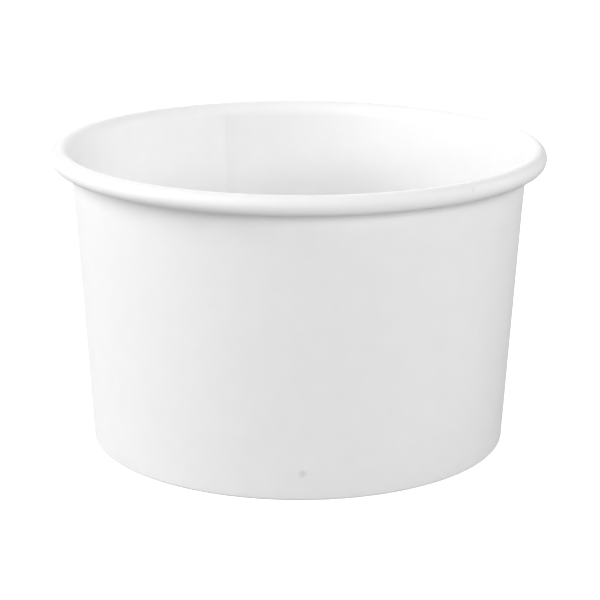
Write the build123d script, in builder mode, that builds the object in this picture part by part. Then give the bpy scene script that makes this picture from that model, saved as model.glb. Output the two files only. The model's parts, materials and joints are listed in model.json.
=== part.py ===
"""Paper sundae cup: a lapped and rolled side wall with a recessed base disc.

Millimetres and degrees. The origin is the centre of the foot on the table, +Z is up, and -Y is the
front. Angles round the cup are measured from +X towards +Y.
"""

from build123d import *
from math import acos, asin, atan2, cos, degrees, hypot, radians, sin, tan
import os

# Overall size
rim_diameter = 97.0
cup_height = 59.0
base_diameter = 82.5

# Paperboard
wall_board = 0.40
base_board = 0.35
seal_gap = 0.02

# Rolled rim: the wall bends out on a wide flare, coils into a tube and tucks its cut edge inside
roll_diameter = 3.7
roll_gap = 0.19
flare_radius = 3.0
coil_end_turn = 325.0
tuck_outer_radius = 1.15
tuck_turn = 75.0

# Folded foot: the wall turns in and up behind the skirt of the base
fold_inner_radius = 0.05
hem_gap = 0.75

# Base disc
base_recess = 7.0
base_bend_radius = 0.45
skirt_gap = 0.40

# Side seam: the wall's two edges lap, the outer one stepping out over the inner one
seam_angle = 110.5
seam_lap = 6.5
seam_ramp = 4.0

# Wall line, from the foot to where it is tangent to the flare
coil_radius = roll_diameter / 2 - wall_board
roll_centre_radius = rim_diameter / 2 - roll_diameter / 2
roll_centre_height = cup_height - roll_diameter / 2
run_out = roll_centre_radius - base_diameter / 2
sight_angle = degrees(atan2(run_out, roll_centre_height))
centre_offset = roll_diameter / 2 + roll_gap
wall_slope = sight_angle - degrees(asin(centre_offset / hypot(run_out, roll_centre_height)))
flare_turn = degrees(acos(1 - (centre_offset - coil_radius) / (flare_radius - coil_radius)))

# Layers of the folded foot, from the outside of the wall to the inside of the hem
skirt_depth = wall_board + seal_gap
hem_depth = skirt_depth + base_board + seal_gap
foot_depth = hem_depth + wall_board
hem_height = base_recess - base_bend_radius - hem_gap

# Angles that the seam takes up
seam_radius = (rim_diameter + base_diameter) / 4
lap_angle = degrees(seam_lap / seam_radius)
ramp_angle = degrees(seam_ramp / seam_radius)


def wall_radius(height, depth):
    """Radius at a height of the cone that lies depth inside the wall's outer face."""
    return base_diameter / 2 + height * tan(radians(wall_slope)) - depth / cos(radians(wall_slope))


def section_plane(angle):
    """Plane through the axis, with its x along the radius at this angle and its y up."""
    return Plane(
        origin=(0, 0, 0),
        x_dir=(cos(radians(angle)), sin(radians(angle)), 0),
        z_dir=(sin(radians(angle)), -cos(radians(angle)), 0),
    )


def board_face(depth, shift):
    """One face of the wall's board in section, from the hem's edge to the tucked edge.

    depth is how far the face lies from the printed side, and shift is how far the wall and its roll
    stand out from the plain wall.
    """
    wall_depth = depth - shift
    slope = radians(wall_slope)
    coil_centre = Vector(roll_centre_radius, roll_centre_height)
    flare_direction = radians(90 - wall_slope - flare_turn)
    to_flare_centre = Vector(sin(flare_direction), -cos(flare_direction))
    flare_centre = coil_centre + to_flare_centre * (flare_radius - coil_radius)
    wall_top = flare_centre - Vector(cos(slope), -sin(slope)) * (flare_radius + wall_depth)
    foot = FilletPolyline(
        (wall_radius(hem_height, foot_depth - depth), hem_height),
        (wall_radius(depth, foot_depth - depth), depth),
        (wall_radius(depth, wall_depth), depth),
        (wall_top.X, wall_top.Y),
        radius=fold_inner_radius + wall_board - depth,
    )
    flare = JernArc(foot @ 1, foot % 1, flare_radius + wall_depth, -flare_turn)
    coil = JernArc(flare @ 1, flare % 1, coil_radius + wall_depth, flare_turn - coil_end_turn)
    tuck_radius = tuck_outer_radius - wall_board + wall_depth
    tuck = JernArc(coil @ 1, coil % 1, tuck_radius, -tuck_turn)
    return foot @ 0, tuck @ 1


def board_section(shift):
    """Section of the board through the axis, with its wall standing out by shift."""
    with BuildSketch() as section:
        with BuildLine():
            outer_ends = board_face(0, shift)
            inner_ends = board_face(wall_board, shift)
            Line(outer_ends[0], inner_ends[0])
            Line(outer_ends[1], inner_ends[1])
        make_face()
    return section.sketch


plain_section = board_section(0)
lap_section = board_section(wall_board)

# One wrapped blank: a plain wall, the doubled lap, and the ramp that carries the outer edge out
with BuildPart() as side_wall:
    with BuildSketch(section_plane(seam_angle + ramp_angle)):
        add(plain_section)
    revolve(axis=Axis.Z, revolution_arc=360 - ramp_angle - lap_angle)
    with BuildSketch(section_plane(seam_angle - lap_angle)):
        add(plain_section)
        add(lap_section)
    revolve(axis=Axis.Z, revolution_arc=lap_angle)
    with BuildSketch(section_plane(seam_angle)):
        add(lap_section)
    with BuildSketch(section_plane(seam_angle + ramp_angle)):
        add(plain_section)
    loft(ruled=True)

# Flat disc with a skirt turned down into the folded foot
with BuildPart() as base_disc:
    with BuildSketch(section_plane(0)):
        with BuildLine():
            disc_top = base_recess + base_board
            skirt_foot = wall_board + skirt_gap
            inner_depth = skirt_depth + base_board
            top_face = FilletPolyline(
                (0, disc_top),
                (wall_radius(disc_top, skirt_depth), disc_top),
                (wall_radius(skirt_foot, skirt_depth), skirt_foot),
                radius=base_bend_radius + base_board,
            )
            under_face = FilletPolyline(
                (0, base_recess),
                (wall_radius(base_recess, inner_depth), base_recess),
                (wall_radius(skirt_foot, inner_depth), skirt_foot),
                radius=base_bend_radius,
            )
            Line(top_face @ 0, under_face @ 0)
            Line(top_face @ 1, under_face @ 1)
        make_face()
    revolve(axis=Axis.Z)

side_wall.part.label = "side_wall"
base_disc.part.label = "base_disc"

os.makedirs("parts", exist_ok=True)
export_step(side_wall.part, "parts/side_wall.step")
export_step(base_disc.part, "parts/base_disc.step")
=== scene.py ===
"""Looks of a plain white paper sundae cup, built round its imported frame.

Sizes of the board and its folds are in millimetres and become metres when a mesh is made. An azimuth is
in degrees round the cup, from the front (-Y) towards the right (+X).
"""

import json
import math

import bpy
import numpy as np
from mathutils import Matrix, Vector
from mathutils.bvhtree import BVHTree


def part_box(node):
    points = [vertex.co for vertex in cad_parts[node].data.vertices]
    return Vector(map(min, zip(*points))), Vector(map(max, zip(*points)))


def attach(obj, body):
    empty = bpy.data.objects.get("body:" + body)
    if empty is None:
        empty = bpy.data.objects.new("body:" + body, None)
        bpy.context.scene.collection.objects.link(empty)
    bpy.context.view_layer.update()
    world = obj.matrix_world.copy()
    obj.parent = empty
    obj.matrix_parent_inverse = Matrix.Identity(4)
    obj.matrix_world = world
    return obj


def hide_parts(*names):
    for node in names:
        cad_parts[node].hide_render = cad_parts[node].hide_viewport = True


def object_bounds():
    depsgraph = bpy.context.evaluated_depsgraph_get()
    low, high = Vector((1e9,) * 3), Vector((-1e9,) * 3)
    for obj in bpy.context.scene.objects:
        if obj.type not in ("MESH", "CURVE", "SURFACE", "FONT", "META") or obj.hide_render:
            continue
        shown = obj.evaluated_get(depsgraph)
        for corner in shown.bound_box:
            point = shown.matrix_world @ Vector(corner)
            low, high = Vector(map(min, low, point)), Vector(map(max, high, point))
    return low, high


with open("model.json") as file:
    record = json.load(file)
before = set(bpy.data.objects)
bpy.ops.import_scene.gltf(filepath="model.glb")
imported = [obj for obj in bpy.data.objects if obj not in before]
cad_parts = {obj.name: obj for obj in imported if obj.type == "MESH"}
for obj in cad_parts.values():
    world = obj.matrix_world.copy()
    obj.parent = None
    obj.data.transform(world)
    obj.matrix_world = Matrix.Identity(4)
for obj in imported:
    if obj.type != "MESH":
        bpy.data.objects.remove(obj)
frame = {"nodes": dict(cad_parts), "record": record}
cad_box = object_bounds()

MM = 0.001

# Paperboard and its folds
WALL_BOARD = 0.40
BASE_BOARD = 0.35
FILM_GAP = 0.01
SEAL_GAP = 0.02
FOLD_RADIUS = 0.45
HEM_HEIGHT = 5.8
ROLL_GAP = 0.19
FLARE_RADIUS = 3.0
COIL_END_TURN = 325.0
COIL_END_TURN_AT_SEAM = 285.0
TUCK_OUTER_RADIUS = 1.15
TUCK_TURN = 75.0
BASE_BEND_RADIUS = 0.80

# Side seam
SEAM_AZIMUTH = 200.5
SEAM_LAP = 6.5
SEAM_RAMP = 4.0
LAP_PRESS_HEIGHT = 2.0
SEAM_EDGE = 0.06
SEAM_EDGE_TAPER = 2.2

# Shape that handling and forming leave in the board
WALL_WAVE = 0.10
ROLL_WAVE = 0.05
ROLL_SAG = 0.22
ROLL_SAG_AZIMUTH = 78.0
ROLL_SAG_SPREAD = 14.0
SHOULDER = 0.16
SHOULDER_DROP = 2.2
SHOULDER_SPREAD = 1.8
KNURL_RIBS = 120
KNURL_DEPTH = 0.10
KNURL_MARGIN = 0.5
CREASE_AZIMUTH = 40.1
CREASE_ELEVATION = 29.0
CREASE_DEPTH = 0.28
CREASE_WIDTH = 0.20
CREASE_SPREAD = 17.0
CREASE_SLANT = 0.027
CREASE_REACH = 1.6
CREASE_LIP = 0.5
CREASE_LIP_SHIFT = 2
CROWN = 0.18
PUCKERS = 64
PUCKER_DEPTH = 0.07
PUCKER_LENGTH = 3.0
PUCKER_VARIATION = 0.25

# Slow waves: how many times each runs round the cup, and how far one is turned against the next
WALL_WAVE_TURNS = (2, 3, 5, 8)
ROLL_WAVE_TURNS = (2, 3, 7)
PUCKER_WAVE_TURNS = (3, 5, 11)
WAVE_PHASE = 1.7

# A faint grey speck low on the front
SPECK_AZIMUTH = 1.2
SPECK_HEIGHT = 5.4
SPECK_RADIUS = 0.92

# How finely the meshes are cut: degrees between sections, and steps along each part of a section
WALL_STATION_STEP = 0.6
WALL_STATION_LEAST = 0.25
RAMP_STATIONS = 13
CREASE_STATIONS = 33
HEM_STEPS = 7
FOLD_STEPS = 5
PRESSED_STEPS = 3
WALL_STEPS = 12
FLARE_STEPS = 6
COIL_STEPS = 26
TUCK_STEPS = 7
BASE_STATION_STEP = 0.9375
BASE_HUB_RADIUS = 2.0
DISC_STEPS = 14
BASE_BEND_STEPS = 9
SKIRT_STEPS = 4


def radial(azimuth):
    """Unit vector that points out from the axis at an azimuth."""
    return Vector((math.sin(math.radians(azimuth)), -math.cos(math.radians(azimuth)), 0))


def smooth(x):
    """0 up to x = 0 and 1 from x = 1, with a smooth step between."""
    x = min(max(x, 0.0), 1.0)
    return x * x * (3 - 2 * x)


# ---------------------------------------------------------------- sizes read off the frame

lid_rim = next(m for m in frame["record"]["mounts"] if m["name"] == "lid_rim")
RIM_RADIUS = min(cad_box[1].x, cad_box[1].y) / MM
ROLL_RADIUS = lid_rim["dims"]["length_mm"] / 2
CUP_HEIGHT = cad_box[1].z / MM
FLOOR_Z = cad_box[0].z
SKIRT_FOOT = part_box("base_disc")[0].z / MM
DISC_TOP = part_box("base_disc")[1].z / MM


def cad_wall_radius(height):
    """Outer radius of the CAD wall at a height, met by rays towards the axis over the front."""
    mesh = frame["nodes"]["side_wall"].data
    tree = BVHTree.FromPolygons([v.co for v in mesh.vertices], [p.vertices for p in mesh.polygons])
    met = []
    for azimuth in range(-60, 61, 2):
        start = radial(azimuth) * RIM_RADIUS * 2 * MM + Vector((0, 0, height * MM))
        met.append(tree.ray_cast(start, -radial(azimuth))[0].xy.length / MM)
    return max(met)


# The wall's line, from its radius at two heights well clear of the foot and the roll
LOW, HIGH = 0.2 * CUP_HEIGHT, 0.8 * CUP_HEIGHT
WALL_GRADIENT = (cad_wall_radius(HIGH) - cad_wall_radius(LOW)) / (HIGH - LOW)
BASE_RADIUS = cad_wall_radius(LOW) - WALL_GRADIENT * LOW
SLOPE = math.degrees(math.atan(WALL_GRADIENT))
COS_SLOPE = math.cos(math.radians(SLOPE))
SIN_SLOPE = math.sin(math.radians(SLOPE))

COIL_RADIUS = ROLL_RADIUS - WALL_BOARD
TUCK_RADIUS = TUCK_OUTER_RADIUS - WALL_BOARD
ROLL_CENTRE = Vector((RIM_RADIUS - ROLL_RADIUS, CUP_HEIGHT - ROLL_RADIUS))
FLARE_TURN = math.degrees(math.acos(1 - (WALL_BOARD + ROLL_GAP) / (FLARE_RADIUS - COIL_RADIUS)))
FOOT_DEPTH = 2 * WALL_BOARD + BASE_BOARD + 2 * SEAL_GAP

MEAN_RADIUS = (RIM_RADIUS + BASE_RADIUS) / 2
LAP_ANGLE = math.degrees(SEAM_LAP / MEAN_RADIUS)
RAMP_ANGLE = math.degrees(SEAM_RAMP / MEAN_RADIUS)
EDGE_ANGLE = math.degrees(SEAM_EDGE_TAPER / MEAN_RADIUS)


def wall_radius(height, depth):
    """Radius at a height of the cone that lies depth inside the wall's outer face."""
    return BASE_RADIUS + height * WALL_GRADIENT - depth / COS_SLOPE


# ---------------------------------------------------------------- the board in section

class Walk:
    """A path in the plane through the axis: its points, and at each the way to the left of travel."""

    def __init__(self, start, heading):
        self.points = [Vector(start)]
        self.headings = [heading]
        self.parts = ["start"]

    def step(self, part, point, heading):
        self.points.append(point)
        self.headings.append(heading)
        self.parts.append(part)

    def straight(self, part, length, steps):
        heading = self.headings[-1]
        start = self.points[-1]
        ahead = Vector((math.cos(math.radians(heading)), math.sin(math.radians(heading))))
        for i in range(steps):
            self.step(part, start + ahead * length * (i + 1) / steps, heading)

    def bend(self, part, radius, turn, steps):
        """A bend by turn degrees, to the left if turn is positive."""
        side = math.copysign(1, turn)
        first = math.radians(self.headings[-1])
        centre = self.points[-1] + Vector((-math.sin(first), math.cos(first))) * radius * side
        for i in range(steps):
            heading = self.headings[-1] + turn / steps
            angle = math.radians(heading)
            self.step(part, centre - Vector((-math.sin(angle), math.cos(angle))) * radius * side, heading)

    def arrays(self):
        """Points, left-hand normals and part names, as arrays."""
        angles = np.radians(self.headings)
        normals = np.stack([-np.sin(angles), np.cos(angles)], axis=1)
        return np.array([tuple(p) for p in self.points]), normals, np.array(self.parts)


def wall_walk(coil_end_turn):
    """The printed face of the wall's board: down the hem, round the foot, up the wall, into the roll."""
    flare_heading = math.radians(90 - SLOPE - FLARE_TURN)
    to_centre = Vector((math.sin(flare_heading), -math.cos(flare_heading)))
    flare_centre = ROLL_CENTRE + to_centre * (FLARE_RADIUS - COIL_RADIUS)
    wall_top = flare_centre.y + SIN_SLOPE * FLARE_RADIUS
    hem_length = (HEM_HEIGHT - FOLD_RADIUS * (1 + SIN_SLOPE)) / COS_SLOPE
    flat = (FOOT_DEPTH / COS_SLOPE
            - FOLD_RADIUS * math.tan(math.radians(90 + SLOPE) / 2)
            - FOLD_RADIUS * math.tan(math.radians(90 - SLOPE) / 2))
    wall_length = (wall_top - FOLD_RADIUS * (1 - SIN_SLOPE)) / COS_SLOPE

    walk = Walk((wall_radius(HEM_HEIGHT, FOOT_DEPTH), HEM_HEIGHT), -90 - SLOPE)
    walk.straight("hem", hem_length, HEM_STEPS)
    walk.bend("foot", FOLD_RADIUS, 90 + SLOPE, FOLD_STEPS)
    walk.straight("foot", flat, 1)
    walk.bend("foot", FOLD_RADIUS, 90 - SLOPE, FOLD_STEPS)
    walk.straight("wall", LAP_PRESS_HEIGHT, PRESSED_STEPS)
    walk.straight("wall", wall_length - LAP_PRESS_HEIGHT, WALL_STEPS)
    walk.bend("roll", FLARE_RADIUS, -FLARE_TURN, FLARE_STEPS)
    walk.bend("roll", COIL_RADIUS, FLARE_TURN - coil_end_turn, COIL_STEPS)
    walk.bend("roll", TUCK_RADIUS, -TUCK_TURN, TUCK_STEPS)
    return walk.arrays()


# ---------------------------------------------------------------- meshes

def make_object(name, vertices, faces, face_slots, materials, sharp_angle=35):
    """A mesh object from points in millimetres, smooth but for its sharp edges."""
    mesh = bpy.data.meshes.new(name)
    mesh.from_pydata([tuple(v) for v in np.asarray(vertices) * MM], [], faces)
    for material in materials:
        mesh.materials.append(material)
    mesh.polygons.foreach_set("material_index", face_slots)
    mesh.polygons.foreach_set("use_smooth", [True] * len(mesh.polygons))
    mesh.set_sharp_from_angle(angle=math.radians(sharp_angle))
    mesh.update()
    piece = bpy.data.objects.new(name, mesh)
    bpy.context.scene.collection.objects.link(piece)
    return piece


def at_azimuth(section, azimuth):
    """Points of a section (radius, height) placed round the axis."""
    out = radial(azimuth)
    return np.stack([section[:, 0] * out.x, section[:, 0] * out.y, section[:, 1]], axis=1)


def waves(azimuth, turns):
    """A smooth wave round the cup, between about -1 and 1."""
    angle = math.radians(azimuth)
    total = sum(math.cos(k * angle + WAVE_PHASE * k * k) / k for k in turns)
    return total / sum(1 / k for k in turns)


def strip_azimuths():
    """Angles along the wall's blank from the seam: from its outer cut edge round to its inner one."""
    stations = set(np.arange(-LAP_ANGLE, 360.0, WALL_STATION_STEP).round(4))
    stations |= set(np.linspace(0, RAMP_ANGLE, RAMP_STATIONS).round(4))
    stations |= {0.0, 360.0, round(360.0 - LAP_ANGLE, 4)}
    crease = (CREASE_AZIMUTH - SEAM_AZIMUTH) % 360
    stations = {s for s in stations if abs(s - crease) > CREASE_REACH}
    stations |= set((crease + np.linspace(-CREASE_REACH, CREASE_REACH, CREASE_STATIONS)).round(4))
    ordered = sorted(stations)
    kept = [ordered[0]]
    for s in ordered[1:]:
        must_stay = abs(s - crease) <= CREASE_REACH or s in (0.0, 360.0)
        if must_stay or s - kept[-1] >= WALL_STATION_LEAST:
            kept.append(s)
    return kept


def wall_section(along):
    """Both faces of the wall's board at an angle along the blank, as (printed, coated) points."""
    azimuth = SEAM_AZIMUTH + along
    from_lap = min(abs(along + LAP_ANGLE / 2), abs(along - 360 + LAP_ANGLE / 2)) - LAP_ANGLE / 2
    near_seam = 1 - smooth(from_lap / RAMP_ANGLE)
    coil_end = COIL_END_TURN + (COIL_END_TURN_AT_SEAM - COIL_END_TURN) * near_seam
    points, normals, parts = wall_walk(coil_end)

    # Where the edges lap, the outer layer stands out, but both are pressed thin at the foot
    outer_lap = 1 - smooth(along / RAMP_ANGLE)
    inner_lap = smooth((along - 360 + LAP_ANGLE) / RAMP_ANGLE * 2 + 1)
    height = points[:, 1]
    on_wall = parts == "wall"
    rolled = parts == "roll"
    curled = np.clip(np.cumsum(rolled) / FLARE_STEPS, 0, 1)
    raised = np.where(rolled, 1.0, 0.0)
    raised[on_wall] = np.clip((height[on_wall] - FOLD_RADIUS) / LAP_PRESS_HEIGHT, 0, 1)
    pressed = (WALL_BOARD / 2) * (1 - raised)
    printed = -WALL_BOARD * raised * outer_lap + (pressed + FILM_GAP * (1 - raised)) * inner_lap
    coated = WALL_BOARD - (WALL_BOARD * raised + pressed + FILM_GAP) * outer_lap

    # The sealing jaws press the inner cut edge thin, and curling brings it flush with the roll's outside
    inner_edge = 1 - smooth((360 - along) / EDGE_ANGLE)
    outer_edge = (1 - smooth(-along / EDGE_ANGLE)) * outer_lap
    thinned = WALL_BOARD - SEAM_EDGE
    flush = thinned * max(inner_edge, outer_edge) * curled
    coated = coated - raised * thinned * inner_edge + flush
    printed = printed + flush

    # Knurled ribs, pressed into the hem from the inside
    on_hem = (parts == "hem") & (height < HEM_HEIGHT - KNURL_MARGIN)
    rib = 0.5 - 0.5 * math.cos(math.radians(KNURL_RIBS * azimuth))
    printed = printed + np.where(on_hem, KNURL_DEPTH * rib, 0.0) * (1 - near_seam)

    # The crease across the roll's outer face
    elevation = np.degrees(np.arctan2(normals[:, 1], normals[:, 0]))
    above = elevation - CREASE_ELEVATION
    across = np.radians(azimuth % 360 - CREASE_AZIMUTH - CREASE_SLANT * above) * RIM_RADIUS / CREASE_WIDTH
    along_roll = np.exp(-((above / CREASE_SPREAD) ** 2))
    lip = CREASE_LIP * np.exp(-((across - CREASE_LIP_SHIFT) ** 2))
    dent = CREASE_DEPTH * (np.exp(-across * across) - lip)
    coated = coated - np.where(rolled, along_roll * dent, 0.0)

    # Slow waves: the wall between foot and roll moves in and out, and the roll moves down
    free = np.sin(np.pi * np.clip((height - DISC_TOP) / (ROLL_CENTRE.y - DISC_TOP), 0, 1))
    points[:, 0] += WALL_WAVE * waves(azimuth, WALL_WAVE_TURNS) * np.where(on_wall, free, 0.0)
    points[rolled, 1] -= ROLL_WAVE * (0.5 + 0.5 * waves(azimuth, ROLL_WAVE_TURNS))

    # The rolling tool leaves a slight shoulder below the roll, and the roll's underside sags on one side
    below_roll = CUP_HEIGHT - 2 * ROLL_RADIUS - height
    shoulder = SHOULDER * np.exp(-(((below_roll - SHOULDER_DROP) / SHOULDER_SPREAD) ** 2))
    points[:, 0] += np.where(on_wall, shoulder, 0.0)
    from_sag = (azimuth - ROLL_SAG_AZIMUTH + 180) % 360 - 180
    low_on_roll = np.clip((ROLL_CENTRE.y - height) / ROLL_RADIUS, 0, 1)
    sag = ROLL_SAG * math.exp(-((from_sag / ROLL_SAG_SPREAD) ** 2))
    points[rolled, 1] -= sag * low_on_roll[rolled]
    return points + normals * printed[:, None], points + normals * coated[:, None]


def make_side_wall(materials):
    """The wrapped blank as one closed sheet: both faces, its long edges and its two cut ends."""
    vertices = []
    stations = strip_azimuths()
    for along in stations:
        for face in wall_section(along):
            vertices.extend(at_azimuth(face, SEAM_AZIMUTH + along))
    rows = len(vertices) // len(stations) // 2

    def index(station, face, row):
        return (station * 2 + face) * rows + row

    faces, slots = [], []
    for i in range(len(stations) - 1):
        for j in range(rows - 1):
            faces.append((index(i, 0, j), index(i + 1, 0, j), index(i + 1, 0, j + 1), index(i, 0, j + 1)))
            faces.append((index(i, 1, j), index(i, 1, j + 1), index(i + 1, 1, j + 1), index(i + 1, 1, j)))
            slots += [0, 1]
        last = rows - 1
        faces.append((index(i, 0, 0), index(i, 1, 0), index(i + 1, 1, 0), index(i + 1, 0, 0)))
        faces.append((index(i, 0, last), index(i + 1, 0, last), index(i + 1, 1, last), index(i, 1, last)))
        slots += [2, 2]
    end = len(stations) - 1
    for j in range(rows - 1):
        faces.append((index(0, 0, j), index(0, 0, j + 1), index(0, 1, j + 1), index(0, 1, j)))
        faces.append((index(end, 0, j), index(end, 1, j), index(end, 1, j + 1), index(end, 0, j + 1)))
        slots += [2, 2]
    return make_object("cup_wall", vertices, faces, slots, materials)


def base_section(azimuth):
    """Both faces of the base's board, from near the axis out to the skirt's edge, as (top, under)."""
    corner = wall_radius(DISC_TOP, WALL_BOARD + SEAL_GAP)
    disc_length = corner - BASE_BEND_RADIUS * math.tan(math.radians(90 + SLOPE) / 2)
    skirt_top = DISC_TOP - BASE_BEND_RADIUS * (1 + SIN_SLOPE)
    walk = Walk((BASE_HUB_RADIUS, DISC_TOP), 0)
    walk.straight("disc", disc_length - BASE_HUB_RADIUS, DISC_STEPS)
    walk.bend("bend", BASE_BEND_RADIUS, -90 - SLOPE, BASE_BEND_STEPS)
    walk.straight("skirt", (skirt_top - SKIRT_FOOT) / COS_SLOPE, SKIRT_STEPS)
    points, normals, parts = walk.arrays()

    # The disc crowns a little in its middle, and its turned edge puckers
    radius = points[:, 0]
    pucker = PUCKER_DEPTH * (0.5 + 0.5 * math.cos(math.radians(PUCKERS * azimuth)))
    pucker *= 1 - PUCKER_VARIATION * (1 - waves(azimuth, PUCKER_WAVE_TURNS))
    reach = np.clip(1 - (corner - radius) / PUCKER_LENGTH, 0, 1)
    lift = CROWN * (1 - (radius / corner) ** 2) - pucker * reach
    points[:, 1] += np.where(parts != "skirt", lift, 0.0)
    return points, points - normals * BASE_BOARD


def make_base_disc(materials):
    """The base as one closed sheet: the top and under faces and the skirt's cut edge."""
    ring = np.arange(0, 360, BASE_STATION_STEP)
    vertices = []
    for azimuth in ring:
        for face in base_section(azimuth):
            vertices.extend(at_azimuth(face, azimuth))
    rows = len(vertices) // len(ring) // 2
    top_centre = len(vertices)
    vertices += [(0, 0, DISC_TOP + CROWN), (0, 0, DISC_TOP + CROWN - BASE_BOARD)]

    def index(station, face, row):
        return (station % len(ring) * 2 + face) * rows + row

    faces, slots = [], []
    for i in range(len(ring)):
        for j in range(rows - 1):
            faces.append((index(i, 0, j), index(i, 0, j + 1), index(i + 1, 0, j + 1), index(i + 1, 0, j)))
            faces.append((index(i, 1, j), index(i + 1, 1, j), index(i + 1, 1, j + 1), index(i, 1, j + 1)))
            slots += [0, 1]
        last = rows - 1
        faces.append((index(i, 0, last), index(i, 1, last), index(i + 1, 1, last), index(i + 1, 0, last)))
        faces.append((top_centre, index(i, 0, 0), index(i + 1, 0, 0)))
        faces.append((top_centre + 1, index(i + 1, 1, 0), index(i, 1, 0)))
        slots += [2, 0, 1]
    return make_object("cup_base", vertices, faces, slots, materials)


# ---------------------------------------------------------------- materials

class Nodes:
    """A node material under construction."""

    def __init__(self, name):
        self.material = bpy.data.materials.new(name)
        self.material.use_nodes = True
        self.tree = self.material.node_tree
        self.shader = self.tree.nodes["Principled BSDF"]
        self.coordinates = self.tree.nodes.new("ShaderNodeTexCoord").outputs["Object"]

    def add(self, kind, inputs=None, **settings):
        node = self.tree.nodes.new(kind)
        for key, value in settings.items():
            setattr(node, key, value)
        for key, value in (inputs or {}).items():
            self.feed(value, node.inputs[key])
        return node

    def feed(self, value, socket):
        if isinstance(value, bpy.types.NodeSocket):
            self.tree.links.new(value, socket)
        else:
            socket.default_value = value

    def noise(self, size, detail=3.0, roughness=0.5):
        """Noise whose features are about this many millimetres across."""
        inputs = {"Vector": self.coordinates, "Scale": 1 / (size * MM), "Detail": detail,
                  "Roughness": roughness}
        return self.add("ShaderNodeTexNoise", inputs).outputs["Fac"]

    def spread(self, value, low, high):
        """The value, from 0.3 to 0.7, spread from low to high."""
        inputs = {"Value": value, "From Min": 0.3, "From Max": 0.7, "To Min": low, "To Max": high}
        return self.add("ShaderNodeMapRange", inputs).outputs["Result"]

    def blend(self, factor, first, second):
        node = self.add("ShaderNodeMix", data_type="RGBA")
        self.feed(factor, node.inputs[0])
        self.feed(first, node.inputs[6])
        self.feed(second, node.inputs[7])
        return node.outputs[2]

    def bump(self, height, depth, normal=None):
        """Relief of this many millimetres from a height of 0 to 1."""
        inputs = {"Height": height, "Distance": depth * MM, "Strength": 1.0}
        if normal is not None:
            inputs["Normal"] = normal
        return self.add("ShaderNodeBump", inputs).outputs["Normal"]


WHITE = (0.84, 0.84, 0.84, 1)
WHITE_DEEP = (0.825, 0.825, 0.825, 1)
SPECK_GREY = (0.67, 0.67, 0.66, 1)
CORE = (0.78, 0.77, 0.75, 1)

# Sizes in millimetres of the cloud, the fibre and the plies in the board, and their relief
CLOUD_SIZE = 4.0
FIBRE_SIZE = 0.35
PLY_SIZE = 0.12
PLY_RELIEF = 0.01
SPECK_GRAIN = 0.5

# Surfaces of the board
OUTSIDE_ROUGHNESS = 0.62
OUTSIDE_COAT = 0.04
OUTSIDE_GRAIN = 0.004
INSIDE_ROUGHNESS = 0.58
INSIDE_COAT = 0.06
INSIDE_GRAIN = 0.003
ROUGHNESS_SPREAD = 0.04
COAT_ROUGHNESS = 0.4
BOARD_SPECULAR = 0.35
CUT_EDGE_ROUGHNESS = 0.85

# The speck's strength, and its full and faded edges in speck radii
SPECK_STRENGTH = 0.75
SPECK_FULL = 0.7
SPECK_FADED = 1.6

# Studio paper: half its width in metres, how much of the light it throws back, how the floor glows
SHEET_HALF = 2.5
FLOOR_WHITE = 0.9
REFLECTOR_GREY = 0.42
FLOOR_GLOW = 0.85
PAPER_ROUGHNESS = 0.9
SOFTBOX_DISTANCE = 1.3

# The camera: place in rim radii, angles in degrees, lens and sensor in millimetres
CAMERA_DISTANCE = 8.03
CAMERA_HEIGHT = 2.83
CAMERA_PITCH = 15.83
CAMERA_YAW = 0.05
CAMERA_ROLL = 0.22
CAMERA_LENS = 121.1
CAMERA_SENSOR = 36
CAMERA_CLIP = 0.01


def board_face_material(name, roughness, coat, grain, specked=False):
    """Coated white paperboard: cloudy fibre formation, fine grain under the coating, a soft gloss."""
    n = Nodes(name)
    cloud = n.noise(CLOUD_SIZE)
    fibre = n.noise(FIBRE_SIZE, detail=2.0)
    colour = n.blend(n.spread(cloud, 0.0, 1.0), WHITE, WHITE_DEEP)
    if specked:
        across = wall_radius(SPECK_HEIGHT, 0) * MM
        centre = radial(SPECK_AZIMUTH) * across + Vector((0, 0, SPECK_HEIGHT * MM))
        offset = n.add("ShaderNodeVectorMath", {0: n.coordinates, 1: centre}, operation="SUBTRACT")
        away = n.add("ShaderNodeVectorMath", {0: offset.outputs[0]}, operation="LENGTH")
        inputs = {0: n.noise(SPECK_GRAIN), 1: SPECK_RADIUS * MM, 2: away.outputs["Value"]}
        ragged = n.add("ShaderNodeMath", inputs, operation="MULTIPLY_ADD")
        inputs = {"Value": ragged.outputs[0], "From Min": SPECK_RADIUS * MM * SPECK_FULL,
                  "From Max": SPECK_RADIUS * MM * SPECK_FADED, "To Min": SPECK_STRENGTH, "To Max": 0.0}
        mark = n.add("ShaderNodeMapRange", inputs, interpolation_type="SMOOTHSTEP")
        colour = n.blend(mark.outputs["Result"], colour, SPECK_GREY)
    n.feed(colour, n.shader.inputs["Base Color"])
    mottled = n.spread(fibre, roughness - ROUGHNESS_SPREAD, roughness + ROUGHNESS_SPREAD)
    n.feed(mottled, n.shader.inputs["Roughness"])
    n.feed(coat, n.shader.inputs["Coat Weight"])
    n.feed(COAT_ROUGHNESS, n.shader.inputs["Coat Roughness"])
    n.feed(BOARD_SPECULAR, n.shader.inputs["Specular IOR Level"])
    relief = n.bump(cloud, grain * 2)
    n.feed(n.bump(fibre, grain, relief), n.shader.inputs["Normal"])
    return n.material


def cut_edge_material():
    """The board's raw cut edge: matt and a little warmer, with its plies running along it."""
    n = Nodes("board_cut_edge")
    ply = n.noise(PLY_SIZE)
    n.feed(n.blend(n.spread(ply, 0.0, 1.0), CORE, WHITE), n.shader.inputs["Base Color"])
    n.feed(CUT_EDGE_ROUGHNESS, n.shader.inputs["Roughness"])
    n.feed(n.bump(ply, PLY_RELIEF), n.shader.inputs["Normal"])
    return n.material


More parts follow.
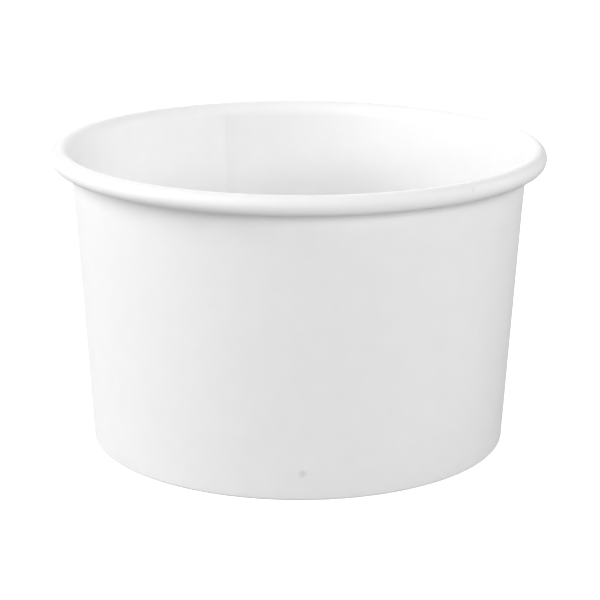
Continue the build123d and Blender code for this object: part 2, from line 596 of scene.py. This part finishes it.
def paper_material(name, tone, glow):
    """Plain studio paper."""
    n = Nodes(name)
    n.feed((tone, tone, tone, 1), n.shader.inputs["Base Color"])
    n.feed((1, 1, 1, 1), n.shader.inputs["Emission Color"])
    n.feed(glow, n.shader.inputs["Emission Strength"])
    n.feed(PAPER_ROUGHNESS, n.shader.inputs["Roughness"])
    n.feed(0.0, n.shader.inputs["Specular IOR Level"])
    return n.material


# ---------------------------------------------------------------- the cup

printed_face = board_face_material(
    "board_outside", OUTSIDE_ROUGHNESS, OUTSIDE_COAT, OUTSIDE_GRAIN, specked=True
)
coated_face = board_face_material("board_inside", INSIDE_ROUGHNESS, INSIDE_COAT, INSIDE_GRAIN)
cut_edge = cut_edge_material()

cup_wall = make_side_wall([printed_face, coated_face, cut_edge])
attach(cup_wall, "root")
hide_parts("side_wall")

cup_base = make_base_disc([coated_face, printed_face, cut_edge])
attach(cup_base, "root")
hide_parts("base_disc")


# ---------------------------------------------------------------- studio

def make_sheet(name, z, tone, glow):
    """A square of studio paper, lying flat."""
    mesh = bpy.data.meshes.new(name)
    corners = [(-SHEET_HALF, -SHEET_HALF, z), (SHEET_HALF, -SHEET_HALF, z),
               (SHEET_HALF, SHEET_HALF, z), (-SHEET_HALF, SHEET_HALF, z)]
    mesh.from_pydata(corners, [], [(0, 1, 2, 3)])
    mesh.materials.append(paper_material(name + "_paper", tone, glow))
    sheet = bpy.data.objects.new(name, mesh)
    bpy.context.scene.collection.objects.link(sheet)
    return sheet


def make_floor():
    """A floor that is lit from within, so it stays white, and under it one that throws light on the cup."""
    floor = make_sheet("floor", FLOOR_Z, FLOOR_WHITE, FLOOR_GLOW)
    floor.visible_diffuse = False
    floor.visible_glossy = False
    floor.visible_transmission = False
    floor.visible_shadow = False
    reflector = make_sheet("reflector", FLOOR_Z - MM, REFLECTOR_GREY, 0)
    reflector.visible_camera = False


def softbox(name, azimuth, elevation, width, height, power):
    """A softbox aimed at the cup, at an azimuth and elevation seen from it; sizes in metres."""
    light = bpy.data.lights.new(name, "AREA")
    light.shape = "RECTANGLE"
    light.size = width
    light.size_y = height
    light.energy = power
    lamp = bpy.data.objects.new(name, light)
    centre = Vector((0, 0, CUP_HEIGHT / 2 * MM))
    level = math.cos(math.radians(elevation))
    away = radial(azimuth) * level + Vector((0, 0, math.sin(math.radians(elevation))))
    lamp.location = centre + away * SOFTBOX_DISTANCE
    lamp.rotation_mode = "QUATERNION"
    lamp.rotation_quaternion = away.to_track_quat("Z", "Y")
    bpy.context.scene.collection.objects.link(lamp)


def make_world():
    """A white backdrop that the camera sees, but that lights nothing."""
    world = bpy.data.worlds.new("studio")
    world.use_nodes = True
    world.node_tree.nodes["Background"].inputs["Color"].default_value = (1, 1, 1, 1)
    bpy.context.scene.world = world
    world.cycles_visibility.diffuse = False
    world.cycles_visibility.glossy = False
    world.cycles_visibility.transmission = False


def make_camera():
    """A short telephoto view from just above the rim, level but for a hair of roll."""
    distance, height = CAMERA_DISTANCE * RIM_RADIUS, CAMERA_HEIGHT * RIM_RADIUS
    pitch, yaw, roll = (math.radians(a) for a in (CAMERA_PITCH, CAMERA_YAW, CAMERA_ROLL))
    ahead = Vector((math.sin(yaw) * math.cos(pitch), math.cos(yaw) * math.cos(pitch), -math.sin(pitch)))
    right = ahead.cross(Vector((0, 0, 1))).normalized()
    up = right.cross(ahead)
    turned_right = right * math.cos(roll) + up * math.sin(roll)
    turned_up = up * math.cos(roll) - right * math.sin(roll)
    camera = bpy.data.cameras.new("camera")
    camera.sensor_width = CAMERA_SENSOR
    camera.lens = CAMERA_LENS
    camera.clip_start = CAMERA_CLIP
    camera_object = bpy.data.objects.new("camera", camera)
    axes = Matrix((turned_right, turned_up, -ahead)).transposed()
    place = Vector((0, -distance * MM, height * MM + FLOOR_Z))
    camera_object.matrix_world = Matrix.Translation(place) @ axes.to_4x4()
    bpy.context.scene.collection.objects.link(camera_object)
    bpy.context.scene.camera = camera_object


make_floor()
softbox("key_high", -87, 30, 0.8, 0.8, 15.4)
softbox("key_low", -100, 3, 0.9, 0.5, 4.8)
softbox("front", 0, 20, 0.8, 0.6, 4.7)
softbox("front_fill", 38, 23, 0.8, 0.6, 8.4)
softbox("back_fill", 112, 26, 0.6, 0.5, 5.2)
softbox("back", 180, 25, 0.8, 0.6, 5.7)
softbox("top", 0, 85, 1.0, 1.0, 2.2)
make_world()
make_camera()
bpy.context.scene.view_settings.view_transform = "Standard"
